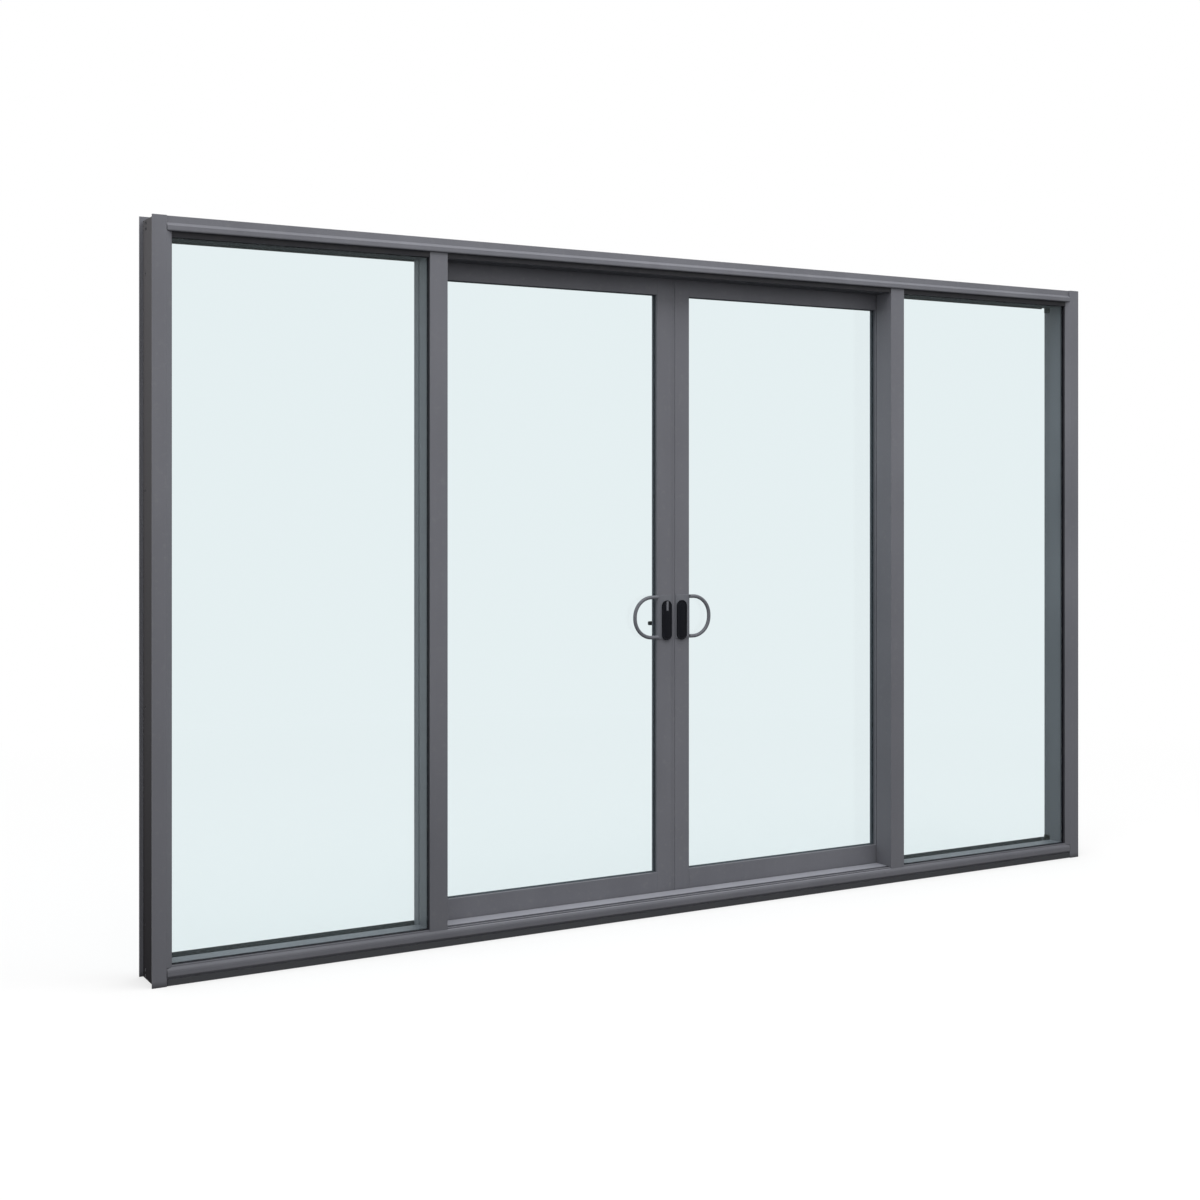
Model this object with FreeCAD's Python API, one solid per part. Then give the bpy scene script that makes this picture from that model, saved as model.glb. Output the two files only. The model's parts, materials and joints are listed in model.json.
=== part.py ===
import FreeCAD, Part
import math
import os

V = FreeCAD.Vector

# Bi-parting patio door: two fixed outer lites, two inner leaves that slide apart behind them.
# X runs along the wall, Y from outdoors to indoors, Z up. The origin is on the sill's base.
# In a section, n is the distance in from the frame's outer edge and r the depth behind the
# outdoor face.

# Overall frame
frameWidth = 3440.0
frameHeight = 2100.0
frameDepth = 136.0
wall = 2.5
overcut = 1.0
tinyFlat = 0.1

# Outdoor nosing round the frame
nosingWidth = 42.0
nosingBand = 19.0
nosingDrop = 8.0
nosingReturn = 10.0
nosingRound = 4.5
nosingFin = 3.0
nosingFinRound = 0.8
nosingSlope = 0.6
nosingStep = 8.0
nosingStepRound = 1.0
headUpstand = 12.0

# Widths of the frame's members, and of their lips on the indoor side
jambFace = 57.0
headFace = 57.0
sillFace = 54.0
jambLip = 38.0
headLip = 52.5
sillLip = 56.0
backSet = 11.0
copeFit = 0.1
coverFit = 0.3
coverDeep = 18.0
edgeRound = 1.5

# Glazing
glassThick = 6.0
pocketWidth = 20.0
pocketDeep = 14.0
glassEdgeGap = 3.0
gasketFit = 0.1
gasketProud = 0.8
gasketDeep = 9.0

# Mullions that part the fixed lites from the leaves
mullionWidth = 56.5
mullionLap = 2.0
liteEdge = 823.5
slideClear = 5.0

# Leaves
leafThick = 34.0
lipThick = 3.0
stileWidth = 55.0
meetingGap = 5.0
adaptorWide = 8.0
adaptorInset = 2.0
bottomRailFace = 97.0
topRailFace = 64.5
legClear = 6.5
stileFootGap = 5.0
rollerBay = 36.0
topLeg = 18.0
leafGlassEdgeGap = 3.0

# Sill rail, rollers and head guide
trackRise = 16.0
trackFoot = 20.0
trackFootThick = 2.0
trackStem = 3.0
trackHead = 6.0
wheelRadius = 10.0
wheelWide = 9.0
wheelGroove = 3.5
wheelGrooveEase = 1.6
axleRadius = 3.0
axleFit = 0.1
rollFit = 0.3
carriageLong = 64.0
carriageInset = 90.0
carriageBelow = 5.0
carriageFit = 0.1
wheelSide = 1.0
wheelClear = 3.0
axleGrip = 1.0
guideDrop = 27.0
guideThick = 4.0
guideRound = 1.0
guideBlockLong = 50.0
guideBlockInset = 12.0
guideBlockBelow = 1.0
guideUnder = 2.0
guideFit = 0.5
stopLong = 30.0
stopUnder = 5.0
stopGap = 2.0
bufferThick = 9.0
bufferHigh = 23.0
bufferProud = 14.0
bufferProudSill = 11.0
stopSide = 6.0
stopRound = 4.0

# Seals
brushWide = 6.0
brushInset = 4.0
meetingSealWide = 6.0
sealFit = 0.3
sealSlotWide = 8.0
sealSlotDeep = 4.0

# Handles and locks
lockCentre = 933.5
handleRise = 11.0
handleHalfHeight = 71.0
handleReachLeft = 92.0
handleReachRight = 80.0
handleBar = 12.0
handleClear = 12.5
handleTipFlat = 2.0
handleRoot = 12.0
handleFoot = 8.0
handleBarDeep = 12.0
handleSink = 2.0
handleBarEase = 3.2
handlePlateThick = 2.5
handlePlateWide = 52.0
lockPlateHigh = 129.0
lockPlateWideLeft = 36.0
lockPlateWideRight = 37.0
lockPlateThick = 5.0
lockPlateEdgeLeft = 2.5
lockPlateEdgeRight = 5.5
turnDrop = 11.5
turnBossRadius = 9.0
turnBossLong = 10.0
turnLeverLong = 40.0
turnLeverWide = 13.0
turnLeverThick = 5.0
turnLeverRound = 4.0

# Fixing holes through the floor of each jamb's channel
fixingHoleRadius = 4.0
fixingCount = 4
fixingFirst = 150.0
fixingPitch = 600.0

# Derived places
halfWidth = frameWidth / 2
frontY = -frameDepth / 2
channelEnd = frameDepth - lipThick
leafRecess = channelEnd - slideClear - leafThick
channelStart = leafRecess - slideClear
channelFloor = backSet + wall
leafMidRecess = leafRecess + leafThick / 2
leafOuter = halfWidth - liteEdge
mullionOuter = halfWidth - liteEdge
mullionInner = mullionOuter - mullionWidth
halfGap = meetingGap / 2
handleTip = halfGap + stileWidth + max(handleReachLeft, handleReachRight + adaptorWide)
leafTravel = mullionInner - handleTip - handleClear
travelEnd = mullionInner + leafTravel + stopGap
pocketFrontFixed = nosingReturn + wall
fixedGlassRecess = pocketFrontFixed + pocketWidth / 2
pocketFrontLeaf = (leafThick - pocketWidth) / 2
headFloorZ = frameHeight - channelFloor
sillFloorZ = channelFloor
trackTopZ = sillFloorZ + trackRise
legBottomZ = sillFloorZ + legClear
bottomRailTop = legBottomZ + bottomRailFace
stileBottomZ = trackTopZ + stileFootGap
guideBottomZ = headFloorZ - guideDrop
stileTopZ = guideBottomZ - stileFootGap
topRailBottom = stileTopZ - topRailFace
legTopZ = stileTopZ + topLeg
handleCentre = lockCentre + handleRise
turnHeight = lockCentre - turnDrop
lockPlateBottom = lockCentre - lockPlateHigh / 2
lockPlateTop = lockCentre + lockPlateHigh / 2

os.makedirs("parts", exist_ok=True)


def y(recess):
    return frontY + recess


def outline(corners, place):
    # A closed wire through corners (a, b, radius): straight runs joined by tangent arcs.
    edges = []
    count = len(corners)
    last = None
    first = None
    for index in range(count):
        a, b, radius = corners[index]
        corner = V(a, b, 0)
        before = V(corners[index - 1][0], corners[index - 1][1], 0)
        after = V(corners[(index + 1) % count][0], corners[(index + 1) % count][1], 0)
        start = corner
        end = corner
        arc = None
        if radius > 0:
            toBefore = (before - corner).normalize()
            toAfter = (after - corner).normalize()
            half = math.acos(toBefore.dot(toAfter)) / 2
            reach = radius / math.tan(half)
            start = corner + toBefore * reach
            end = corner + toAfter * reach
            bisector = (toBefore + toAfter).normalize()
            middle = corner + bisector * (radius / math.sin(half) - radius)
            arc = Part.Arc(place(start), place(middle), place(end)).toShape()
        if last is not None and (start - last).Length > 1e-6:
            edges.append(Part.makeLine(place(last), place(start)))
        if arc is not None:
            edges.append(arc)
        if first is None:
            first = start
        last = end
    if (first - last).Length > 1e-6:
        edges.append(Part.makeLine(place(last), place(first)))
    return Part.Wire(edges)


def bar(section, holes, place, along):
    # One extruded profile: its outline, its hollow chambers, and its length as a vector.
    solid = Part.Face(outline(section, place)).extrude(along)
    for hole in holes:
        solid = solid.cut(Part.Face(outline(hole, place)).extrude(along))
    return solid


def box(low, high):
    size = V(*high) - V(*low)
    return Part.makeBox(size.x, size.y, size.z, V(*low))


def mirrored(shape):
    return shape.mirror(V(0, 0, 0), V(1, 0, 0))


def save(name, shape):
    shape.exportStep("parts/" + name + ".step")


def innerSection(face, lip):
    # From the nosing inwards: glazing box, open track channel and indoor lip.
    pocketEnd = pocketFrontFixed + pocketWidth
    return [
        (nosingWidth, nosingReturn, 0), (face, nosingReturn, edgeRound),
        (face, pocketFrontFixed, 0),
        (face - pocketDeep, pocketFrontFixed, 0), (face - pocketDeep, pocketEnd, 0),
        (face, pocketEnd, 0), (face, channelStart, edgeRound), (channelFloor, channelStart, 0),
        (channelFloor, channelEnd, 0), (lip, channelEnd, edgeRound / 2),
        (lip, frameDepth, edgeRound / 2),
    ]


def innerChamber(face):
    # The hollow behind the nosing and round the glazing pocket, as far as the track channel.
    pocketEnd = pocketFrontFixed + pocketWidth
    floor = min(face - pocketDeep, nosingWidth) - wall
    return [
        (floor, wall, 0), (floor, pocketEnd + wall, 0), (face - wall, pocketEnd + wall, 0),
        (face - wall, channelStart - wall, 0), (channelFloor, channelStart - wall, 0),
    ]


def railSection(face, lip, closedBase):
    # Head or sill: a stepped nosing, its outer band set back behind a sloped step. Two fins
    # stand the web off the wall. The sill's base is closed by a flat plate, and the head's
    # indoor fin stands up past the rest.
    finStart = nosingDrop + nosingFin
    finBack = frameDepth - wall
    stepEnd = nosingBand + nosingStep
    section = [
        (0, finStart, 0), (0, nosingDrop, nosingFinRound),
        (nosingBand, nosingDrop - nosingSlope, 0), (stepEnd, 0, nosingStepRound),
        (nosingWidth, 0, nosingRound),
    ]
    section += innerSection(face, lip)
    chamber = [(channelFloor, nosingDrop + wall, 0), (nosingBand + wall, nosingDrop + wall, 0),
               (stepEnd + wall / 2, wall, 0)]
    holes = [chamber + innerChamber(face)]
    if closedBase:
        section.append((0, frameDepth, 0))
        holes.append([(wall, finStart + wall, 0), (backSet, finStart + wall, 0),
                      (backSet, finBack, 0), (wall, finBack, 0)])
    else:
        section += [(-headUpstand, frameDepth, 0), (-headUpstand, finBack, 0),
                    (backSet, finBack, 0), (backSet, finStart, 0)]
    return section, holes


def jambSection():
    # Jamb: a plain nosing, and an indoor lip lower than the face.
    finBack = frameDepth - wall
    section = [(0, nosingFin, 0), (0, 0, nosingFinRound), (nosingWidth, 0, nosingRound)]
    section += innerSection(jambFace, jambLip)
    section += [(0, frameDepth, 0), (0, finBack, 0), (backSet, finBack, 0),
                (backSet, nosingFin, 0)]
    chamber = [(channelFloor, wall, 0)] + innerChamber(jambFace)
    return section, [chamber]


def jambRoom(side):
    # The room that a jamb takes at one end of the head and sill, which are coped round it.
    nosing = nosingWidth + copeFit
    face = jambFace + copeFit
    step = nosingReturn - copeFit
    corners = [(-overcut, -overcut), (nosing, -overcut), (nosing, step), (face, step),
               (face, frameDepth + overcut), (-overcut, frameDepth + overcut)]
    points = [V(side * (halfWidth - n), y(recess), 0) for n, recess in corners]
    return Part.Face(Part.makePolygon(points + points[:1])).extrude(V(0, 0, frameHeight))


def coped(bar):
    return bar.cut(jambRoom(-1)).cut(jambRoom(1))


def makeHead():
    section, holes = railSection(headFace, headLip, False)
    place = lambda p: V(-halfWidth, y(p.y), frameHeight - p.x)
    return coped(bar(section, holes, place, V(frameWidth, 0, 0)))


def makeSill():
    section, holes = railSection(sillFace, sillLip, True)
    place = lambda p: V(-halfWidth, y(p.y), p.x)
    return coped(bar(section, holes, place, V(frameWidth, 0, 0)))


def makeJamb():
    # Left jamb, with its row of fixing holes through the channel's floor.
    section, holes = jambSection()
    place = lambda p: V(-halfWidth + p.x, y(p.y), 0)
    solid = bar(section, holes, place, V(0, 0, frameHeight))
    for index in range(fixingCount):
        height = fixingFirst + index * fixingPitch
        start = V(-halfWidth + backSet - overcut, y(leafMidRecess), height)
        hole = Part.makeCylinder(fixingHoleRadius, wall + 2 * overcut, start, V(1, 0, 0))
        solid = solid.cut(hole)
    return solid


def makeJambCover():
    # Snap-in cover that closes the left jamb's channel flush with its lip.
    low = channelStart + coverFit
    high = channelEnd - coverFit
    back = jambLip - coverDeep
    inner = jambLip - wall
    section = [
        (jambLip, low, 0), (jambLip, high, 0), (back, high, 0), (back, high - wall, 0),
        (inner, high - wall, 0), (inner, low + wall, 0), (back, low + wall, 0), (back, low, 0),
    ]
    place = lambda p: V(-halfWidth + p.x, y(p.y), 0)
    return bar(section, [], place, V(0, 0, frameHeight))


def makeMullion():
    # Left mullion: a box section with the fixed lite's pocket on its outer side, and a
    # front plate that laps over the head and sill as far as their nosings.
    pocketEnd = pocketFrontFixed + pocketWidth
    section = [
        (0, nosingReturn, 0), (mullionWidth, nosingReturn, 0),
        (mullionWidth, channelStart, edgeRound), (0, channelStart, edgeRound),
        (0, pocketEnd, 0), (pocketDeep, pocketEnd, 0),
        (pocketDeep, pocketFrontFixed, 0), (0, pocketFrontFixed, 0),
    ]
    inner = mullionWidth - wall
    chamber = [
        (pocketDeep + wall, nosingReturn + wall, 0), (inner, nosingReturn + wall, 0),
        (inner, channelStart - wall, 0), (wall, channelStart - wall, 0),
        (wall, pocketEnd + wall, 0), (pocketDeep + wall, pocketEnd + wall, 0),
    ]
    place = lambda p: V(-mullionOuter + p.x, y(p.y), sillFace)
    tube = bar(section, [chamber], place, V(0, 0, frameHeight - headFace - sillFace))
    lap = box((-mullionOuter, y(nosingReturn - mullionLap), nosingWidth),
              (-mullionInner, y(nosingReturn), frameHeight - nosingWidth))
    return tube.fuse(lap)


def pane(x0, x1, z0, z1, recess):
    return box((x0, y(recess) - glassThick / 2, z0), (x1, y(recess) + glassThick / 2, z1))


def gasket(x0, x1, z0, z1, recess):
    # Two glazing seals round a daylight opening, one on each face of the glass.
    rings = []
    for low, high in ((-pocketWidth / 2, -glassThick / 2), (glassThick / 2, pocketWidth / 2)):
        low += gasketFit
        high -= gasketFit
        outer = box((x0 - gasketDeep, y(recess) + low, z0 - gasketDeep),
                    (x1 + gasketDeep, y(recess) + high, z1 + gasketDeep))
        inner = box((x0 + gasketProud, y(recess) + low - overcut, z0 + gasketProud),
                    (x1 - gasketProud, y(recess) + high + overcut, z1 - gasketProud))
        rings.append(outer.cut(inner))
    return Part.makeCompound(rings)


def makeTrack():
    # Rail clipped to the channel's floor, with a round head for the grooved wheels.
    half = trackHead / 2
    section = [
        (-trackFoot / 2, 0, 0), (trackFoot / 2, 0, 0), (trackFoot / 2, trackFootThick, 0),
        (trackStem / 2, trackFootThick, 0), (trackStem / 2, trackRise - trackHead, 0),
        (half, trackRise - half, 0), (half, trackRise, half - tinyFlat),
        (-half, trackRise, half - tinyFlat), (-half, trackRise - half, 0),
        (-trackStem / 2, trackRise - trackHead, 0), (-trackStem / 2, trackFootThick, 0),
        (-trackFoot / 2, trackFootThick, 0),
    ]
    start = -halfWidth + jambFace
    place = lambda p: V(start, y(leafMidRecess) + p.x, sillFloorZ + p.y)
    return bar(section, [], place, V(-2 * start, 0, 0))


def makeHeadGuide():
    # Fin that hangs in the head's channel and keeps the leaves upright.
    section = [
        (-trackFoot / 2, 0, 0), (-trackFoot / 2, -trackFootThick, 0),
        (-guideThick / 2, -trackFootThick, 0), (-guideThick / 2, -guideDrop, guideRound),
        (guideThick / 2, -guideDrop, guideRound), (guideThick / 2, -trackFootThick, 0),
        (trackFoot / 2, -trackFootThick, 0), (trackFoot / 2, 0, 0),
    ]
    end = travelEnd
    place = lambda p: V(-end, y(leafMidRecess) + p.x, headFloorZ + p.y)
    return bar(section, [], place, V(2 * end, 0, 0))


def makeTravelStop():
    # In the head's channel, the block that the left leaf's top rail meets when it is open,
    # and a rubber buffer near each end of the jamb's cover.
    low = V(-travelEnd - stopLong, y(channelStart + stopSide), stileTopZ + stopUnder)
    high = V(-travelEnd, y(channelEnd - stopSide), headFloorZ)
    block = box(low, high)
    lowerEdges = [edge for edge in block.Edges
                  if edge.BoundBox.ZMax < low.z + overcut and edge.BoundBox.YLength > overcut]
    solids = [block.makeFillet(stopRound, lowerEdges)]
    start = -halfWidth + jambLip
    top = frameHeight - headFace - bufferProud
    for base in (top, sillFace + bufferProudSill - bufferHigh):
        solids.append(box((start, y(leafRecess), base),
                          (start + bufferThick, y(leafRecess + leafThick), base + bufferHigh)))
    return Part.makeCompound(solids)


def stileSection(width, slotted):
    # A leaf's stile: box section with the glass pocket, and a slot for a seal where leaves meet.
    pocketEnd = pocketFrontLeaf + pocketWidth
    section = [
        (0, 0, edgeRound), (width, 0, edgeRound), (width, pocketFrontLeaf, 0),
        (width - pocketDeep, pocketFrontLeaf, 0), (width - pocketDeep, pocketEnd, 0),
        (width, pocketEnd, 0), (width, leafThick, edgeRound), (0, leafThick, edgeRound),
    ]
    chamberStart = wall
    if slotted:
        slotLow = (leafThick - sealSlotWide) / 2
        section += [(0, slotLow + sealSlotWide, 0), (sealSlotDeep, slotLow + sealSlotWide, 0),
                    (sealSlotDeep, slotLow, 0), (0, slotLow, 0)]
        chamberStart = sealSlotDeep + wall
    chamber = [
        (chamberStart, wall, 0), (width - pocketDeep - wall, wall, 0),
        (width - pocketDeep - wall, leafThick - wall, 0), (chamberStart, leafThick - wall, 0),
    ]
    return section, [chamber]


def makeStile(edge, inward, slotted):
    # A stile whose free edge is at x = edge and whose glass side faces inward (+1 or -1).
    section, holes = stileSection(stileWidth, slotted)
    place = lambda p: V(edge + inward * p.x, y(leafRecess + p.y), stileBottomZ)
    return bar(section, holes, place, V(0, 0, stileTopZ - stileBottomZ))


def makeBottomRail(x0, x1):
    # Between the stiles: a roller bay open below, a chamber and the glass pocket on top.
    pocketEnd = pocketFrontLeaf + pocketWidth
    bayTop = legBottomZ + rollerBay
    section = [
        (0, legBottomZ, 0), (wall, legBottomZ, 0), (wall, bayTop, 0),
        (leafThick - wall, bayTop, 0), (leafThick - wall, legBottomZ, 0),
        (leafThick, legBottomZ, 0), (leafThick, bottomRailTop, edgeRound),
        (pocketEnd, bottomRailTop, 0), (pocketEnd, bottomRailTop - pocketDeep, 0),
        (pocketFrontLeaf, bottomRailTop - pocketDeep, 0), (pocketFrontLeaf, bottomRailTop, 0),
        (0, bottomRailTop, edgeRound),
    ]
    chamber = [
        (wall, bayTop + wall, 0), (leafThick - wall, bayTop + wall, 0),
        (leafThick - wall, bottomRailTop - pocketDeep - wall, 0),
        (wall, bottomRailTop - pocketDeep - wall, 0),
    ]
    place = lambda p: V(x0, y(leafRecess + p.x), p.y)
    return bar(section, [chamber], place, V(x1 - x0, 0, 0))


def makeTopRail(x0, x1):
    # Between the stiles: glass pocket below, and two legs above that straddle the head's fin.
    pocketEnd = pocketFrontLeaf + pocketWidth
    floor = stileTopZ - wall
    section = [
        (0, topRailBottom, edgeRound), (pocketFrontLeaf, topRailBottom, 0),
        (pocketFrontLeaf, topRailBottom + pocketDeep, 0),
        (pocketEnd, topRailBottom + pocketDeep, 0), (pocketEnd, topRailBottom, 0),
        (leafThick, topRailBottom, edgeRound), (leafThick, legTopZ, 0),
        (leafThick - wall, legTopZ, 0), (leafThick - wall, floor + wall, 0),
        (wall, floor + wall, 0), (wall, legTopZ, 0), (0, legTopZ, 0),
    ]
    chamber = [
        (wall, topRailBottom + pocketDeep + wall, 0),
        (leafThick - wall, topRailBottom + pocketDeep + wall, 0),
        (leafThick - wall, floor, 0), (wall, floor, 0),
    ]
    place = lambda p: V(x0, y(leafRecess + p.x), p.y)
    return bar(section, [chamber], place, V(x1 - x0, 0, 0))


def makeRollers(x0, x1):
    # Two carriages in the bottom rail's bay, and the grooved wheels that they carry.
    carriages = []
    wheels = []
    bayTop = legBottomZ + rollerBay
    axleZ = trackTopZ + rollFit + wheelRadius - wheelGroove
    side = leafThick - 2 * wall - 2 * carriageFit
    slot = wheelWide + 2 * wheelSide
    for centre in (x0 + carriageInset, x1 - carriageInset):
        body = box((centre - carriageLong / 2, y(leafMidRecess) - side / 2, axleZ - carriageBelow),
                   (centre + carriageLong / 2, y(leafMidRecess) + side / 2, bayTop))
        room = wheelRadius + wheelClear
        gap = box((centre - room, y(leafMidRecess) - slot / 2, axleZ - carriageBelow - overcut),
                  (centre + room, y(leafMidRecess) + slot / 2, axleZ + room))
        axleStart = V(centre, y(leafMidRecess) - slot / 2 - axleGrip, axleZ)
        axle = Part.makeCylinder(axleRadius, slot + 2 * axleGrip, axleStart, V(0, 1, 0))
        carriages.append(body.cut(gap).fuse(axle).removeSplitter())
        half = wheelWide / 2
        grooveHalf = trackHead / 2 + rollFit
        grooveFloor = wheelRadius - wheelGroove
        floorHalf = grooveHalf - wheelGrooveEase
        profile = [
            (axleRadius + axleFit, -half, 0), (wheelRadius, -half, 0),
            (wheelRadius, -grooveHalf, 0), (grooveFloor + wheelGrooveEase, -grooveHalf, 0),
            (grooveFloor, -floorHalf, 0), (grooveFloor, floorHalf, 0),
            (grooveFloor + wheelGrooveEase, grooveHalf, 0), (wheelRadius, grooveHalf, 0),
            (wheelRadius, half, 0), (axleRadius + axleFit, half, 0),
        ]
        place = lambda p, c=centre: V(c + p.x, y(leafMidRecess) + p.y, axleZ)
        face = Part.Face(outline(profile, place))
        wheels.append(face.revolve(V(centre, y(leafMidRecess), axleZ), V(0, 1, 0), 360))
    return Part.makeCompound(carriages), Part.makeCompound(wheels)


def makeGuideBlocks(x0, x1):
    # Nylon blocks between the top rail's legs, slotted to ride on the head's fin.
    blocks = []
    floor = stileTopZ
    half = leafThick / 2 - wall - carriageFit
    slot = guideThick / 2 + guideFit
    for low in (x0 + guideBlockInset, x1 - guideBlockInset - guideBlockLong):
        block = box((low, y(leafMidRecess) - half, floor),
                    (low + guideBlockLong, y(leafMidRecess) + half, legTopZ - guideBlockBelow))
        groove = box((low - overcut, y(leafMidRecess) - slot, guideBottomZ - guideUnder),
                     (low + guideBlockLong + overcut, y(leafMidRecess) + slot, legTopZ))
        blocks.append(block.cut(groove))
    return Part.makeCompound(blocks)


def dSlab(edge, side, reach, rise, bend, front, deep):
    # A flat D-shaped slab that bulges from x = edge towards side, its corners bent wide.
    tip = edge + side * reach
    corners = [
        (edge, handleCentre - rise, 0), (tip, handleCentre - rise, bend),
        (tip, handleCentre + rise, bend), (edge, handleCentre + rise, 0),
    ]
    place = lambda p: V(p.x, front, p.y)
    return Part.Face(outline(corners, place)).extrude(V(0, deep, 0))


def makeHandle(edge, side, reach):
    # A flat plate on the stile's outdoor face, and a D-shaped grip that stands over the glass,
    # its bar eased all round to eight sides.
    front = y(leafRecess) + handleSink - handleBarDeep
    bend = min(handleHalfHeight - handleTipFlat, reach - handleRoot)
    outer = dSlab(edge, side, reach, handleHalfHeight, bend, front, handleBarDeep)
    inner = dSlab(edge, side, reach - handleBar, handleHalfHeight - handleBar,
                  bend - handleBar, front - overcut, handleBarDeep + 2 * overcut)
    loop = outer.cut(inner)
    rims = [rim for rim in loop.Edges if rim.BoundBox.YLength < tinyFlat]
    rims = [rim for rim in rims if abs(rim.CenterOfMass.x - edge) > tinyFlat]
    loop = loop.makeChamfer(handleBarEase, rims)
    plateFront = y(leafRecess) - handlePlateThick
    ends = sorted((edge, edge - side * handlePlateWide))
    plate = box((ends[0], plateFront, handleCentre - handleHalfHeight),
                (ends[1], y(leafRecess), handleCentre + handleHalfHeight))
    roots = []
    for low in (handleCentre - handleHalfHeight, handleCentre + handleHalfHeight - handleBar):
        foot = sorted((edge, edge - side * handleFoot))
        root = box((foot[0], front, low), (foot[1], y(leafRecess), low + handleBar))
        lengthways = [rim for rim in root.Edges
                      if rim.BoundBox.XLength > tinyFlat and rim.CenterOfMass.y < front + tinyFlat]
        roots.append(root.makeChamfer(handleBarEase, lengthways))
    return loop.fuse([plate] + roots).removeSplitter()


def stadium(x0, x1, z0, z1, front, deep):
    # A plate with half-round ends, its front edge eased.
    half = (x1 - x0 - tinyFlat) / 2
    corners = [(x0, z0, half), (x1, z0, half), (x1, z1, half), (x0, z1, half)]
    place = lambda p: V(p.x, front, p.y)
    return Part.Face(outline(corners, place)).extrude(V(0, deep, 0))


def makeThumbTurn(x):
    # Boss and lever of the indoor snib, level with the lock.
    back = y(leafRecess + leafThick) + lockPlateThick + sealFit
    boss = Part.makeCylinder(turnBossRadius, turnBossLong, V(x, back, turnHeight), V(0, 1, 0))
    front = back + turnBossLong - turnLeverThick
    corners = [
        (x - turnLeverLong, turnHeight - turnLeverWide / 2, turnLeverRound),
        (x, turnHeight - turnLeverWide / 2, 0), (x, turnHeight + turnLeverWide / 2, 0),
        (x - turnLeverLong, turnHeight + turnLeverWide / 2, turnLeverRound),
    ]
    place = lambda p: V(p.x, front, p.y)
    lever = Part.Face(outline(corners, place)).extrude(V(0, turnLeverThick, 0))
    return boss.fuse(lever).removeSplitter()


# Frame
save("head", makeHead())
save("sill", makeSill())
jamb = makeJamb()
save("jamb_left", jamb)
save("jamb_right", mirrored(jamb))
mullion = makeMullion()
save("mullion_left", mullion)
save("mullion_right", mirrored(mullion))
cover = makeJambCover()
save("jamb_cover_left", cover)
save("jamb_cover_right", mirrored(cover))

# Fixed lites
liteLeft = -halfWidth + jambFace
liteRight = -mullionOuter
liteTop = frameHeight - headFace
seat = pocketDeep - glassEdgeGap
fixedPane = pane(liteLeft - seat, liteRight + seat, sillFace - seat, liteTop + seat,
                 fixedGlassRecess)
fixedGasket = gasket(liteLeft, liteRight, sillFace, liteTop, fixedGlassRecess)
for side, turn in (("left", lambda s: s), ("right", mirrored)):
    save("fixed_glass_" + side, turn(fixedPane))
    save("fixed_gasket_" + side, turn(fixedGasket))

# Track, guide, stops and brushes
save("sill_track", makeTrack())
save("head_guide", makeHeadGuide())
stop = makeTravelStop()
save("travel_stop_left", stop)
save("travel_stop_right", mirrored(stop))
brush = box((-mullionInner - brushInset - brushWide, y(channelStart), sillFace),
            (-mullionInner - brushInset, y(leafRecess) - sealFit, liteTop))
save("brush_seal_left", brush)
save("brush_seal_right", mirrored(brush))

# Leaves
for side, sign, meetingEdge, handleReach in (
        ("left", -1, -halfGap, handleReachLeft),
        ("right", 1, halfGap + adaptorWide, handleReachRight)):
    outerEdge = sign * leafOuter
    save("interlock_stile_" + side, makeStile(outerEdge, -sign, False))
    save("meeting_stile_" + side, makeStile(meetingEdge, sign, True))
    inside = sorted((outerEdge - sign * stileWidth, meetingEdge + sign * stileWidth))
    save("bottom_rail_" + side, makeBottomRail(inside[0], inside[1]))
    save("top_rail_" + side, makeTopRail(inside[0], inside[1]))
    seat = pocketDeep - leafGlassEdgeGap
    save("leaf_glass_" + side, pane(inside[0] - seat, inside[1] + seat, bottomRailTop - seat,
                                    topRailBottom + seat, leafMidRecess))
    save("leaf_gasket_" + side, gasket(inside[0], inside[1], bottomRailTop, topRailBottom,
                                       leafMidRecess))
    carriages, wheels = makeRollers(inside[0], inside[1])
    save("roller_carriages_" + side, carriages)
    save("rollers_" + side, wheels)
    save("guide_blocks_" + side, makeGuideBlocks(inside[0], inside[1]))
    save("handle_" + side, makeHandle(meetingEdge + sign * stileWidth, sign, handleReach))

# Lock plates outdoors and indoors
plateBack = y(leafRecess) - handlePlateThick
leftEdge = -halfGap - lockPlateEdgeLeft
rightEdge = halfGap + adaptorWide + lockPlateEdgeRight
for side, ends in (("left", (leftEdge - lockPlateWideLeft, leftEdge)),
                   ("right", (rightEdge, rightEdge + lockPlateWideRight))):
    outdoor = stadium(ends[0], ends[1], lockPlateBottom, lockPlateTop,
                      plateBack - lockPlateThick, lockPlateThick)
    save("lock_plate_" + side, outdoor)
    indoor = stadium(ends[0], ends[1], lockPlateBottom, lockPlateTop,
                     y(leafRecess + leafThick), lockPlateThick)
    save("inner_plate_" + side, indoor)
save("thumb_turn", makeThumbTurn(leftEdge - lockPlateWideLeft / 2))

# Meeting adaptor and its seal on the right leaf
adaptor = box((halfGap, y(leafRecess + adaptorInset), stileBottomZ),
              (halfGap + adaptorWide, y(leafRecess + leafThick - adaptorInset), stileTopZ))
save("meeting_adaptor", adaptor)
seal = box((-halfGap + sealFit, y(leafMidRecess) - meetingSealWide / 2, stileBottomZ),
           (halfGap, y(leafMidRecess) + meetingSealWide / 2, stileTopZ))
save("meeting_seal", seal)
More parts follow.
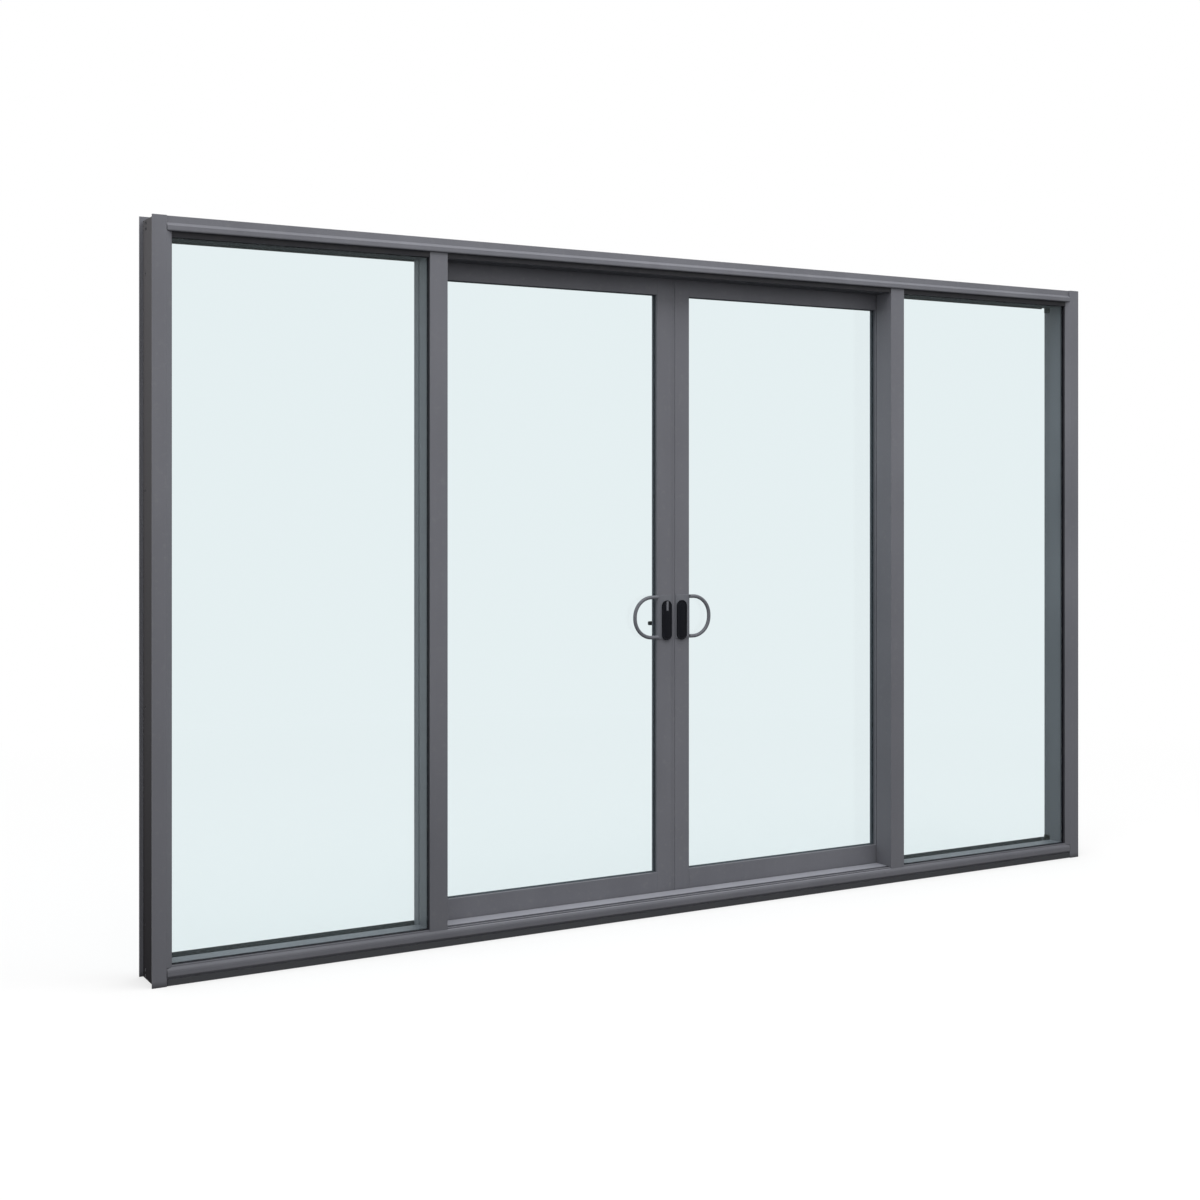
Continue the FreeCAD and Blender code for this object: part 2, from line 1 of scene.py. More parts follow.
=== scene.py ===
import json
import math
import bpy
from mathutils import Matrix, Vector


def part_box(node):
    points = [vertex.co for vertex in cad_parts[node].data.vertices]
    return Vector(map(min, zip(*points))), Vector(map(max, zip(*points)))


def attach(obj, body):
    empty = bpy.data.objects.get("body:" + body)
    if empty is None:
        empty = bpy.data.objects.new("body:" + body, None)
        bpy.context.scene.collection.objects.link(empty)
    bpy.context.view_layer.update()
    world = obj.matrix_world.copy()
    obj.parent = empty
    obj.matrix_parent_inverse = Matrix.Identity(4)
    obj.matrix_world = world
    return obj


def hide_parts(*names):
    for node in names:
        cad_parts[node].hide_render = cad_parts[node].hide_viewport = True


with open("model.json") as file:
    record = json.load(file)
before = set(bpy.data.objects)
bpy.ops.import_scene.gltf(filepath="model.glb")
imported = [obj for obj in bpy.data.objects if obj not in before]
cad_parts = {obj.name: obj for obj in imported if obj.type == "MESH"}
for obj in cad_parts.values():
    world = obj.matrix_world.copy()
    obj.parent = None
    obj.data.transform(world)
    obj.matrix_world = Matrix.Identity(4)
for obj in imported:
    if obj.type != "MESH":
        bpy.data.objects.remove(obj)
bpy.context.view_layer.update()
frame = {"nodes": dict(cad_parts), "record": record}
nodes = frame["nodes"]
print("door frame loaded:", len(nodes), "nodes")


class Wire:
    # a node socket that takes part in plain arithmetic; each operator adds its Math node
    def __init__(self, finish, socket):
        self.finish = finish
        self.socket = socket

    def maths(self, operation, first, second):
        return self.finish.node("ShaderNodeMath", {"operation": operation}, {0: first, 1: second})

    def __add__(self, other):
        return self.maths("ADD", self, other)

    def __radd__(self, other):
        return self.maths("ADD", other, self)

    def __sub__(self, other):
        return self.maths("SUBTRACT", self, other)

    def __rsub__(self, other):
        return self.maths("SUBTRACT", other, self)

    def __mul__(self, other):
        return self.maths("MULTIPLY", self, other)

    def __rmul__(self, other):
        return self.maths("MULTIPLY", other, self)

    def size(self):
        return self.maths("ABSOLUTE", self, 0)

    def above(self, limit):
        return self.maths("GREATER_THAN", self, limit)

    def below(self, limit):
        return self.maths("LESS_THAN", self, limit)

    def orElse(self, other):
        return self.maths("MAXIMUM", self, other)


class Finish:
    # the nodes of one material, or of the world
    def __init__(self, owner):
        self.owner = owner
        self.owner.use_nodes = True
        self.tree = owner.node_tree
        self.tree.nodes.clear()
        self.place = None

    def node(self, kind, settings=None, sockets=None, out=0):
        made = self.tree.nodes.new(kind)
        for name, value in (settings or {}).items():
            setattr(made, name, value)
        for key, value in (sockets or {}).items():
            if isinstance(value, Wire):
                self.tree.links.new(value.socket, made.inputs[key])
            else:
                made.inputs[key].default_value = value
        return Wire(self, made.outputs[out])

    def spot(self, stretch=(1, 1, 1)):
        # object coordinates, stretched along the axes where a pattern has a grain
        if self.place is None:
            self.place = self.node("ShaderNodeTexCoord", out="Object")
        if tuple(stretch) == (1, 1, 1):
            return self.place
        return self.node("ShaderNodeMapping", None, {"Vector": self.place, "Scale": stretch})

    def along(self, axis):
        # how far along X, Y or Z
        return self.node("ShaderNodeSeparateXYZ", None, {"Vector": self.spot()}, out=axis)

    def skyward(self):
        # 1 where a face looks straight up, -1 where it looks straight down
        turned = self.node("ShaderNodeTexCoord", out="Normal")
        return self.node("ShaderNodeSeparateXYZ", None, {"Vector": turned}, out="Z")

    def noise(self, scale, detail=3, stretch=(1, 1, 1), roughness=0.55):
        return self.node("ShaderNodeTexNoise", None, {
            "Vector": self.spot(stretch), "Scale": scale, "Detail": detail, "Roughness": roughness})

    def ramp(self, value, low, high):
        # 0 below low, 1 above high
        return self.node("ShaderNodeMapRange", {"clamp": True}, {
            "Value": value, "From Min": low, "From Max": high})

    def blend(self, factor, first, second):
        # the colour mix has its own sockets: 0 is its factor, 6 and 7 its colours, 2 its result
        return self.node("ShaderNodeMix", {"data_type": "RGBA"}, {0: factor, 6: first, 7: second}, out=2)

    def bump(self, height, strength, distance, under=None):
        sockets = {"Height": height, "Strength": strength, "Distance": distance}
        if under is not None:
            sockets["Normal"] = under
        return self.node("ShaderNodeBump", None, sockets)

    def shader(self, sockets):
        return self.node("ShaderNodeBsdfPrincipled", None, sockets)

    def either(self, factor, first, second):
        # first where the factor is 0, second where it is 1
        return self.node("ShaderNodeMixShader", None, {0: factor, 1: first, 2: second})

    def done(self, surface, kind="ShaderNodeOutputMaterial"):
        output = self.tree.nodes.new(kind)
        self.tree.links.new(surface.socket, output.inputs["Surface"])
        return self.owner


def newFinish(name):
    return Finish(bpy.data.materials.new(name))


def rgb(red, green, blue):
    # a colour read off as 0 to 255 becomes the light it stands for
    def light(value):
        value = value / 255
        return value / 12.92 if value <= 0.04045 else ((value + 0.055) / 1.055) ** 2.4
    return (light(red), light(green), light(blue), 1)


coat = {
    "frame": (101, 102, 108),
    "leaf": (100, 101, 107),
    "pull": (99, 101, 107),
    "screw": (44, 44, 48),
    "driftScale": 1.7,  # how fine each pattern is; a higher scale is finer
    "streakScale": 9,
    "speckScale": 620,
    "peelScale": 340,
    "dustScale": 46,
    "shift": 7,  # how far a tone drifts up and down, in the same 0 to 255 steps
    "roughness": 0.5,
    "gloss": 0.2,
    "peel": 0.00006,  # height of the orange peel, in metres
    "dust": (150, 149, 146),
    "dustMost": 0.16,
    "skyLit": (178, 179, 188),  # painted top light: a paler tone painted on the sill's upturned faces, where the light from above falls
    "skyLitBelow": 0.1,  # it lies up to this height
    "skyLitWithin": 0.84,  # and in the doorway, this far from the middle
    "skyLitAside": 0.15,  # with this share of it beside the doorway
    "under": (60, 60, 63),  # painted shade: faces that look down are darkened this way
    "underShadeMost": 0.35,
    "shaded": (72, 72, 77),  # painted shade: the frame darkens this way towards its foot
    "shadedMost": 0.45,
    "footDark": (40, 40, 42),  # the jambs' feet, outside the ends of the sill, are darkened this way
    "footDarkMost": 0.85,
    "footDarkHeight": 0.022,
    "footDarkX": 1.678,  # what lies further out than this is darkened at its foot
    "height": 2.1,  # the jambs' height, over which the painted shade changes
}


def powderCoat(name, tone, framed=False):
    # satin powder coat on aluminium: fine orange peel, soft drift of tone, light dust, painted top light
    # on low upturned faces and painted shade on faces that look down
    skin = newFinish(name)
    drift = skin.noise(coat["driftScale"], 2)
    streak = skin.noise(coat["streakScale"], 4, (1, 1, 0.12))
    speck = skin.noise(coat["speckScale"], 2)
    peel = skin.noise(coat["peelScale"], 3, roughness=0.6)
    light = rgb(*[c + coat["shift"] for c in tone])
    dark = rgb(*[c - coat["shift"] for c in tone])
    amount = skin.ramp(drift * 0.55 + streak * 0.3 + speck * 0.15, 0.34, 0.66)
    colour = skin.blend(amount, dark, light)
    dusty = skin.noise(coat["dustScale"], 6, roughness=0.7)
    dust = skin.ramp(dusty, 0.56, 0.78) * coat["dustMost"]
    colour = skin.blend(dust, colour, rgb(*coat["dust"]))
    # painted top light on the low faces that look up
    colour = skin.blend(paintedSkyLight(skin, streak), colour, rgb(*coat["skyLit"]))
    if framed:
        # painted shade towards the frame's foot, and darkened jamb feet
        colour = paintedShadeAndDarkFeet(skin, colour, streak)
    rough = coat["roughness"] + dust * 0.9 + (streak - 0.5) * 0.12
    grain = skin.bump(peel, 0.35, coat["peel"])
    grain = skin.bump(speck, 0.25, coat["peel"] / 2, grain)
    surface = skin.shader({
        "Base Color": colour, "Roughness": rough, "Normal": grain,
        "Specular IOR Level": coat["gloss"]})
    # painted shade: faces that look straight down take a darker tone and lose their gloss
    underShadeColour = skin.blend(coat["underShadeMost"], colour, rgb(*coat["under"]))
    under = skin.shader({
        "Base Color": underShadeColour, "Roughness": rough + 0.3, "Normal": grain,
        "Specular IOR Level": 0.0})
    surface = skin.either(skin.skyward().below(-0.9), surface, under)
    if framed:
        # painted shade on the jambs' outer web
        surface = paintedWebShade(skin, surface, streak, grain)
    return skin.done(surface)


def paintedSkyLight(skin, streak):
    # how much painted top light a face takes: it has to look up and lie low, and takes the most in the
    # doorway
    upturned = skin.ramp(skin.skyward(), 0.86, 0.98)
    low = skin.along("Z").below(coat["skyLitBelow"])
    inside = skin.along("X").size().below(coat["skyLitWithin"])
    share = coat["skyLitAside"] + (1 - coat["skyLitAside"]) * inside
    return upturned * low * share * (0.75 + 0.25 * streak)


def paintedShadeAndDarkFeet(skin, colour, streak):
    # painted shade: the frame darkens a little towards its foot; the jambs' feet are darkened too
    height = skin.along("Z")
    # painted shade: darker towards the frame's foot
    shade = (1 - skin.ramp(height, 0, coat["height"] / 2)) * coat["shadedMost"]
    colour = skin.blend(shade, colour, rgb(*coat["shaded"]))
    # the jambs' feet turn darker close to the floor
    foot = 1 - skin.ramp(height + streak * 0.01, 0.004, coat["footDarkHeight"])
    atJamb = skin.along("X").size().above(coat["footDarkX"])
    return skin.blend(foot * atJamb * coat["footDarkMost"], colour, rgb(*coat["footDark"]))


# painted shade on the jambs' outer web: dark at its foot, lighter at its head
webShadePaint = {
    "beyond": 1.7082,  # the web lies further out than this
    "within": 0.0652,  # and no further than this from the middle of the frame's depth
    "foot": (35, 34, 36),
    "head": (89, 88, 90),
    "roughness": 0.85,
    "gloss": 0.03,
}


def paintedWebShade(skin, surface, streak, grain):
    # painted shade: the jambs' outer web is darkened, most towards its foot, and loses its gloss
    beyond = skin.along("X").size().above(webShadePaint["beyond"])
    within = skin.along("Y").size().below(webShadePaint["within"])
    rise = skin.ramp(skin.along("Z") + streak * 0.2, 0.1, coat["height"])
    dull = skin.shader({
        "Base Color": skin.blend(rise, rgb(*webShadePaint["foot"]), rgb(*webShadePaint["head"])),
        "Roughness": webShadePaint["roughness"] + streak * 0.1,
        "Normal": grain, "Specular IOR Level": webShadePaint["gloss"]})
    return skin.either(beyond * within, surface, dull)


glass = {
    "through": (230, 240, 242),  # what white looks like through one pane
    "mirror": 0.02,
    "wipeScale": 3.2,
    "gloss": (225, 238, 236),
    "roughness": 0.02,
    "wiped": 0.05,  # how much rougher the wipe marks are
}


def paneGlass(name):
    # 6 mm clear float: slightly green, with faint wipe marks that only show in the gloss
    pane = newFinish(name)
    wipe = pane.noise(glass["wipeScale"], 5, (1, 1, 0.45), 0.65)
    # a ray passes both faces of a pane, so each takes the root of the tint
    tint = tuple(math.sqrt(c) for c in rgb(*glass["through"])[:3]) + (1,)
    clear = pane.node("ShaderNodeBsdfTransparent", None, {"Color": tint})
    gloss = pane.shader({
        "Base Color": rgb(*glass["gloss"]), "Metallic": 1.0,
        "Roughness": glass["roughness"] + pane.ramp(wipe, 0.5, 0.8) * glass["wiped"]})
    return pane.done(pane.either(glass["mirror"] * (0.85 + 0.3 * wipe), clear, gloss))


rubber = {
    "glazing": (44, 43, 48),
    "leaf": (76, 79, 84),
    "foot": (62, 63, 66),
    # the strip under the head's nosing: its dark tone is largely painted shade of the nosing
    "head": (48, 48, 51),
    "buffer": (8, 8, 9),
    "bloom": (74, 73, 71),
    "bloomScale": 30,
    "grainScale": 900,
    "dusty": 0.3,
    "bufferDusty": 0.05,
    "roughness": 0.72,
    "gloss": 0.08,
}


def sealRubber(name, tone, dusty=rubber["dusty"]):
    # extruded rubber: matt with a fine skin and a bloom of dust
    skin = newFinish(name)
    grain = skin.noise(rubber["grainScale"], 2)
    bloom = skin.ramp(skin.noise(rubber["bloomScale"], 5, roughness=0.7), 0.5, 0.75)
    return skin.done(skin.shader({
        "Base Color": skin.blend(bloom * dusty, rgb(*tone), rgb(*rubber["bloom"])),
        "Roughness": rubber["roughness"] + bloom * 0.15,
        "Normal": skin.bump(grain, 0.4, 0.00008), "Specular IOR Level": rubber["gloss"]}))


enamel = {
    "tone": (12, 14, 20),
    "rubbed": (33, 36, 46),
    "rubbedMost": 0.35,
    "rubScale": 55,
    "grainScale": 700,
    "roughness": 0.34,
    "gloss": 0.08,
}


def lockBlack(name):
    # black stove-enamelled lock furniture, slightly rubbed where fingers reach
    skin = newFinish(name)
    grain = skin.noise(enamel["grainScale"], 3)
    rub = skin.ramp(skin.noise(enamel["rubScale"], 5, (1, 1, 0.4), 0.7), 0.52, 0.8)
    colour = skin.blend(rub * enamel["rubbedMost"], rgb(*enamel["tone"]), rgb(*enamel["rubbed"]))
    return skin.done(skin.shader({
        "Base Color": colour, "Roughness": enamel["roughness"] + grain * 0.1 - rub * 0.08,
        "Normal": skin.bump(grain, 0.3, 0.00006), "Specular IOR Level": enamel["gloss"]}))


rail = {
    "dull": (150, 152, 156),
    "bright": (196, 198, 202),
    "lineScale": 260,
    "cloudScale": 8,
    "roughness": 0.28,
}


def railMetal(name):
    # mill-finish aluminium rail: die lines along its length, dull where wheels don't polish it
    skin = newFinish(name)
    lines = skin.noise(rail["lineScale"], 3, (0.02, 1, 1))
    cloud = skin.noise(rail["cloudScale"], 4, (0.3, 1, 1))
    polish = skin.ramp(lines * 0.6 + cloud * 0.4, 0.35, 0.65)
    return skin.done(skin.shader({
        "Base Color": skin.blend(polish, rgb(*rail["dull"]), rgb(*rail["bright"])),
        "Metallic": 1.0, "Roughness": rail["roughness"] + lines * 0.25,
        "Normal": skin.bump(lines, 0.35, 0.0001)}))


zinc = {
    "dark": (150, 148, 138),
    "light": (188, 186, 176),
    "spangleScale": 190,
    "roughness": 0.32,
}


def zincPlate(name):
    # zinc-plated steel pressing: faint spangle and a slight yellow passivate
    skin = newFinish(name)
    spangle = skin.node("ShaderNodeTexVoronoi", None, {
        "Vector": skin.spot(), "Scale": zinc["spangleScale"]}, out="Color")
    grey = skin.node("ShaderNodeRGBToBW", None, {"Color": spangle})
    return skin.done(skin.shader({
        "Base Color": skin.blend(grey, rgb(*zinc["dark"]), rgb(*zinc["light"])),
        "Metallic": 1.0, "Roughness": zinc["roughness"] + grey * 0.2,
        "Normal": skin.bump(grey, 0.15, 0.0001)}))


nylon = {
    "wheel": (208, 205, 196),
    "guide": (52, 52, 55),
    "shade": 0.88,
    "flowScale": 60,
    "grainScale": 500,
    "roughness": 0.42,
}


def nylonPart(name, tone):
    # moulded nylon, slightly waxy, with flow marks
    skin = newFinish(name)
    flow = skin.noise(nylon["flowScale"], 4, (1, 0.3, 1))
    grain = skin.noise(nylon["grainScale"], 2)
    low = rgb(*[c * nylon["shade"] for c in tone])
    return skin.done(skin.shader({
        "Base Color": skin.blend(flow, low, rgb(*tone)),
        "Roughness": nylon["roughness"] + flow * 0.15,
        "Normal": skin.bump(grain, 0.2, 0.00006)}))


fibres = {"dark": (22, 22, 24), "light": (66, 66, 70), "scale": 1500, "roughness": 0.9}


def pileFibre(name):
    # woven-pile weather strip: upright black fibres
    skin = newFinish(name)
    upright = skin.noise(fibres["scale"], 2, (1, 0.12, 1))
    return skin.done(skin.shader({
        "Base Color": skin.blend(upright, rgb(*fibres["dark"]), rgb(*fibres["light"])),
        "Roughness": fibres["roughness"], "Normal": skin.bump(upright, 0.9, 0.0005)}))


finishOfSlot = {
    "frame_coat": powderCoat("frameCoat", coat["frame"], True),
    "leaf_coat": powderCoat("leafCoat", coat["leaf"]),
    "handle_coat": powderCoat("pullCoat", coat["pull"]),
    "lock_black": lockBlack("lockEnamel"),
    "glass": paneGlass("floatGlass"),
    "gasket": sealRubber("glazingRubber", rubber["glazing"]),
    "buffer": sealRubber("bufferRubber", rubber["buffer"], rubber["bufferDusty"]),
    "brush": pileFibre("brushPile"),
    "track": railMetal("millRail"),
    "carriage": zincPlate("zincSteel"),
    "wheel": nylonPart("wheelNylon", nylon["wheel"]),
    "nylon": nylonPart("guideNylon", nylon["guide"]),
}
leafRubber = sealRubber("leafRubber", rubber["leaf"])
footRubber = sealRubber("footRubber", rubber["foot"])
# the head strip's rubber: its dark tone is largely painted shade under the head's nosing
headShadeRubber = sealRubber("headShadeRubber", rubber["head"])
screwCoat = powderCoat("screwCoat", coat["screw"])

slotOfNode = {part["node"]: part["material_slot"] for part in frame["record"]["subparts"]}
for name, node in nodes.items():
    node.data.materials.clear()
    leafSeal = name.startswith("leaf_gasket")
    node.data.materials.append(leafRubber if leafSeal else finishOfSlot[slotOfNode[name]])
    node.data.polygons.foreach_set("material_index", [0] * len(node.data.polygons))
print("finishes set on", len(nodes), "nodes")


def deselectAll():
    if bpy.context.object and bpy.context.object.mode != "OBJECT":
        bpy.ops.object.mode_set(mode="OBJECT")
    bpy.ops.object.select_all(action="DESELECT")


def makeActive(piece):
    deselectAll()
    piece.select_set(True)
    bpy.context.view_layer.objects.active = piece


def applied(piece):
    makeActive(piece)
    bpy.ops.object.transform_apply(location=True, rotation=True, scale=True)
    return piece


def pickFaces(piece, axis, facing):
    # leaves edit mode open with just the faces picked that look along the axis, or back along it
    makeActive(piece)
    bpy.ops.object.mode_set(mode="EDIT")
    bpy.ops.mesh.select_mode(type="FACE")
    bpy.ops.mesh.select_all(action="DESELECT")
    bpy.ops.object.mode_set(mode="OBJECT")
    for face in piece.data.polygons:
        face.select = face.normal[axis] * facing > 0.9
    bpy.ops.object.mode_set(mode="EDIT")


def eased(piece, width, segments=2):
    # the edges sharper than 35 degrees get a small round
    makeActive(piece)
    edge = piece.modifiers.new("edge", "BEVEL")
    edge.width = width
    edge.segments = segments
    edge.limit_method = "ANGLE"
    edge.angle_limit = math.radians(35)
    bpy.ops.object.modifier_apply(modifier=edge.name)
    return piece


def block(low, high):
    size = Vector(high) - Vector(low)
    deselectAll()
    bpy.ops.mesh.primitive_cube_add(size=1, location=Vector(low) + size / 2)
    piece = bpy.context.object
    piece.scale = size
    return applied(piece)


def prism(corners, run):
    # a bar: a flat face laid on its section's corners, then extruded along its run
    deselectAll()
    bpy.ops.mesh.primitive_circle_add(vertices=len(corners), fill_type="NGON")
    piece = bpy.context.object
    for point, corner in zip(piece.data.vertices, corners):
        point.co = corner
    bpy.ops.object.mode_set(mode="EDIT")
    bpy.ops.mesh.select_all(action="SELECT")
    bpy.ops.mesh.extrude_region_move(TRANSFORM_OT_translate={"value": run})
    bpy.ops.object.mode_set(mode="OBJECT")
    return piece


def joined(pieces):
    deselectAll()
    for piece in pieces:
        piece.select_set(True)
    bpy.context.view_layer.objects.active = pieces[0]
    bpy.ops.object.join()
    return pieces[0]


def settle(piece, name, body, slot, replaced=None, finish=None):
    # outward normals, a name and a finish, then the piece joins its CAD body
    applied(piece)
    bpy.ops.object.mode_set(mode="EDIT")
    bpy.ops.mesh.select_all(action="SELECT")
    bpy.ops.mesh.normals_make_consistent(inside=False)
    bpy.ops.object.mode_set(mode="OBJECT")
    piece.name = name
    piece.data.name = name
    piece.data.materials.clear()
    piece.data.materials.append(finish or finishOfSlot[slot])
    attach(piece, body)
    if replaced:
        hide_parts(replaced)


jambLow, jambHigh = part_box("jamb_left")
halfWidth = -jambLow.x
frontY = jambLow.y
frameTop = jambHigh.z
sideSigns = {"Left": -1, "Right": 1}

splay = {
    # section of the splayed bead beside each jamb's nosing, each corner given as
    # (in from the frame's outer edge, behind its front)
    "section": ((0.0385, 0.0030), (0.0407, 0.0012), (0.0568, 0.0099),
                (0.0568, 0.0118), (0.0425, 0.0118)),
    "foot": 0.0497,  # it stands between the sill's bead and the head's nosing
    "top": 0.0421,
}
for title, sign in sideSigns.items():
    low = splay["foot"]
    corners = [(sign * (halfWidth - inset), frontY + deep, low) for inset, deep in splay["section"]]
    bead = prism(corners, (0, 0, frameTop - low - splay["top"]))
    settle(bead, "jambBead" + title, "frame", "frame_coat")

sillBead = {
    # section of the bead on the sill's step: (above the base, behind the frame's front)
    # its rounded front runs up from the nosing, and its back lies on the sill
    "front": ((0.0405, 0.0003), (0.0432, 0.0012), (0.0458, 0.0030), (0.0480, 0.0058), (0.0494, 0.0098)),
    "back": ((0.0415, 0.0098), (0.0385, 0.0030)),
    "ends": 0.0422,  # how far in from the frame's outer edges it ends
    "smooth": 50,
}
start = sillBead["ends"] - halfWidth
corners = [(start, frontY + deep, high) for high, deep in sillBead["front"] + sillBead["back"]]
bead = prism(corners, (-2 * start, 0, 0))
bpy.ops.object.shade_smooth_by_angle(angle=math.radians(sillBead["smooth"]))
settle(bead, "sillBead", "frame", "frame_coat")
print("beads made")

rearCorner = {
    "inset": (0.0381, 0.0570),  # from the jamb's cover to the coped end of the head and sill
    "depth": (0.0892, 0.1359),  # the track channel's depth behind the frame's front
    "lip": 0.0028,
    "floor": 0.0134,
    "base": 0.0003,
    "sill": 0.0558,  # how high the sill's and the head's lips rise from the frame's edge
    "head": 0.0523,
}
for title, sign in sideSigns.items():
    for place in ("sill", "head"):
        near, far = [frontY + depth for depth in rearCorner["depth"]]
        inner = far - rearCorner["lip"]
        base = rearCorner["base"]
        floorRise = rearCorner["floor"]
        lipRise = rearCorner[place]
        rises = [(near, base), (far, base), (far, lipRise), (inner, lipRise),
                 (inner, floorRise), (near, floorRise)]
        start, end = [sign * (halfWidth - inset) for inset in rearCorner["inset"]]
        section = [(start, y, rise if place == "sill" else frameTop - rise) for y, rise in rises]
        corner = prism(section, (end - start, 0, 0))
        settle(corner, place + "Corner" + title, "frame", "frame_coat")
print("rear corners closed")

footSeal = {"ends": 0.0422, "depth": (0.0025, 0.0072), "height": (0.0004, 0.0186), "ease": 0.001}
reach = halfWidth - footSeal["ends"]
near, far = [frontY + depth for depth in footSeal["depth"]]
low, high = footSeal["height"]
seal = eased(block((-reach, near, low), (reach, far, high)), footSeal["ease"])
settle(seal, "sillFootSeal", "frame", "gasket", finish=footRubber)

# a thin dark rubber strip under the head's nosing, largely painted shade standing in for the nosing's
# shadow
headShadeSeal = {"ends": 0.0574, "depth": (0.0088, 0.0099), "height": (0.0422, 0.0564)}
reach = halfWidth - headShadeSeal["ends"]
near, far = [frontY + depth for depth in headShadeSeal["depth"]]
high, low = [frameTop - height for height in headShadeSeal["height"]]
seal = block((-reach, near, low), (reach, far, high))
settle(seal, "headShadeSeal", "frame", "gasket", finish=headShadeRubber)

pile = {
    "ends": 0.0581,
    "depth": (0.1285, 0.1329),
    "sill": (0.0440, 0.0566),
    "head": (0.0440, 0.0570),
}
reach = halfWidth - pile["ends"]
near, far = [frontY + depth for depth in pile["depth"]]
for place in ("sill", "head"):
    low, high = pile[place]
    if place == "head":
        low, high = frameTop - high, frameTop - low
    settle(block((-reach, near, low), (reach, far, high)), place + "Pile", "frame", "brush")
print("seals and pile made")

stileLow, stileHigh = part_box("meeting_stile_right")
sealLow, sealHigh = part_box("meeting_seal")
meeting = {"behind": 0.0022, "thick": 0.002, "lap": 0.001}
near = stileLow.y + meeting["behind"]
lip = block((sealLow.x, near, stileLow.z),
            (sealHigh.x + meeting["lap"], near + meeting["thick"], stileHigh.z))
settle(lip, "meetingLip", "leaf_right", "leaf_coat")

screw = {
    "points": 24,
    "radius": 0.0045,
    "high": 0.0014,
    "rim": 0.0022,  # the flat round the drive's recess
    "drive": (0.0004, 0.0009),  # the recess's slope and depth
    "ease": 0.0003,
    "web": 0.011,  # the web that they hold lies this far in from the jamb's outer edge
    "depth": 0.105,
    "ends": (0.009, 0.025),  # their heights from each end of the jamb
}
for title, sign in sideSigns.items():
    heads = []
    heights = list(screw["ends"]) + [frameTop - end for end in screw["ends"]]
    for height in heights:
        out = sign * (halfWidth - screw["web"] + screw["high"] / 2)
        deselectAll()
        bpy.ops.mesh.primitive_cylinder_add(
            vertices=screw["points"], radius=screw["radius"], depth=screw["high"],
            location=(out, frontY + screw["depth"], height), rotation=(0, math.pi / 2, 0))
        head = applied(bpy.context.object)
        slope, deep = screw["drive"]
        pickFaces(head, 0, sign)
        bpy.ops.mesh.inset(thickness=screw["rim"], depth=0)
        bpy.ops.mesh.inset(thickness=slope, depth=-deep)
        bpy.ops.object.mode_set(mode="OBJECT")
        heads.append(eased(head, screw["ease"], 1))
    settle(joined(heads), "webScrews" + title, "frame", "frame_coat", finish=screwCoat)
print("meeting lip and screws made")

pull = {
    "bar": 0.006,  # radius of the round bar
    "points": 18,
    "steps": 16,
    "tipFlat": 0.002,
    "root": 0.012,
    "onPlate": 0.0005,
    "plate": 0.0025,
    "plateEase": 0.0008,
    "weld": 0.00005,
    "smooth": 40,
}


def roundPull(title, sign):
    # round bar bent to a D: a ring run out from the stile, spun round both bends and run back
    side = title.lower()
    low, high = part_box("handle_" + side)
    faceLow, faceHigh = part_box("meeting_stile_" + side)
    tip = high.x if sign > 0 else low.x
    edge = faceHigh.x if sign > 0 else faceLow.x
    plateEnd = low.x if sign > 0 else high.x
    bar = pull["bar"]
    rise = (high.z - low.z) / 2 - bar
    middle = (high.z + low.z) / 2
    span = abs(tip - edge) - bar
    bend = min(rise - pull["tipFlat"], span - pull["root"])
    arm = span - bend + pull["onPlate"]
    start = edge - sign * pull["onPlate"]
    barY = low.y + bar
    deselectAll()
    bpy.ops.mesh.primitive_circle_add(
        vertices=pull["points"], radius=bar, location=(start, barY, middle + rise),
        rotation=(0, math.pi / 2, 0))
    loop = applied(bpy.context.object)
    bpy.ops.object.mode_set(mode="EDIT")
    bpy.ops.mesh.select_mode(type="VERT")
    bpy.ops.mesh.select_all(action="SELECT")
    bpy.ops.mesh.extrude_region_move(TRANSFORM_OT_translate={"value": (sign * arm, 0, 0)})
    turnX = start + sign * arm
    flat = 2 * (rise - bend)
    for centreZ, after in ((middle + rise - bend, (0, 0, -flat)),
                           (middle - rise + bend, (-sign * arm, 0, 0))):
        bpy.ops.mesh.spin(steps=pull["steps"], angle=-sign * math.pi / 2,
                          center=(turnX, barY, centreZ), axis=(0, 1, 0))
        bpy.ops.mesh.extrude_region_move(TRANSFORM_OT_translate={"value": after})
    bpy.ops.mesh.select_all(action="SELECT")
    bpy.ops.mesh.remove_doubles(threshold=pull["weld"])
    bpy.ops.mesh.fill_holes(sides=0)
    bpy.ops.object.mode_set(mode="OBJECT")
    bpy.ops.object.shade_smooth_by_angle(angle=math.radians(pull["smooth"]))
    ends = sorted((edge, plateEnd))
    plate = block((ends[0], faceLow.y - pull["plate"], low.z), (ends[1], faceLow.y, high.z))
    plate = eased(plate, pull["plateEase"])
    settle(joined([loop, plate]), "dPull" + title, "leaf_" + side, "handle_coat", "handle_" + side)


for title, sign in sideSigns.items():
    roundPull(title, sign)
print("pulls bent")

lock = {
    "points": 48,
    "rim": 0.0026,
    "recess": 0.0014,
    "padInset": 0.0055,
    "padRise": 0.0012,
    "ease": 0.0007,
    "smooth": 30,
    "slack": 0.00001,  # points this little below the middle move up with the upper half
}


